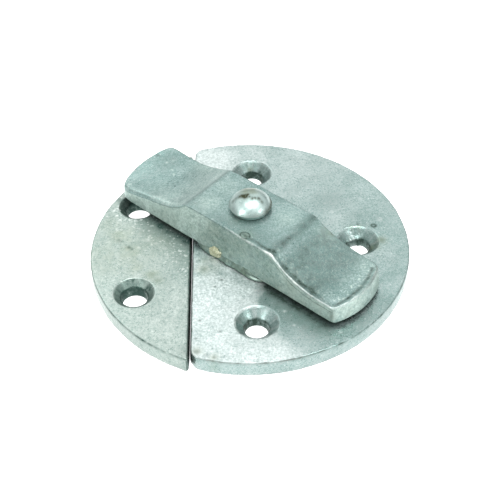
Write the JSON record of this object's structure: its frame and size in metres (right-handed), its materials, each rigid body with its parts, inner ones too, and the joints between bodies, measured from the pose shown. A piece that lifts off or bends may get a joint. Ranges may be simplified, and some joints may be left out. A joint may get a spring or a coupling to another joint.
{
  "type": "cabinet turn button",
  "caption": "Round cast-metal cabinet turn button: a plate parted into a main and a keeper segment, with a dished bar riveted to turn over both.",
  "frame": {"origin": "centre of the round plate on its flat back, which lies against the door", "axes": "+Z leaves the door, along the rivet; +Y runs along the parting line between the two plates; the keeper plate is on the -X side"},
  "size_m": [0.0694, 0.07, 0.0172],
  "materials": {
    "cast_metal": "dull grey, galvanised, finely pitted",
    "rivet_metal": "worn smooth, semi-bright"
  },
  "bodies": {
    "plates": {"main_plate": "cast_metal", "keeper_plate": "cast_metal"},
    "button": {"turn_button": "cast_metal", "rivet": "rivet_metal"}
  },
  "joints": [
    {"name": "button_turn", "type": "hinge", "parent": "plates", "child": "button", "pos_m": [0.0004, 0.0005, 0.00375], "axis": [0, 0, 1], "continuous": true}
  ]
}
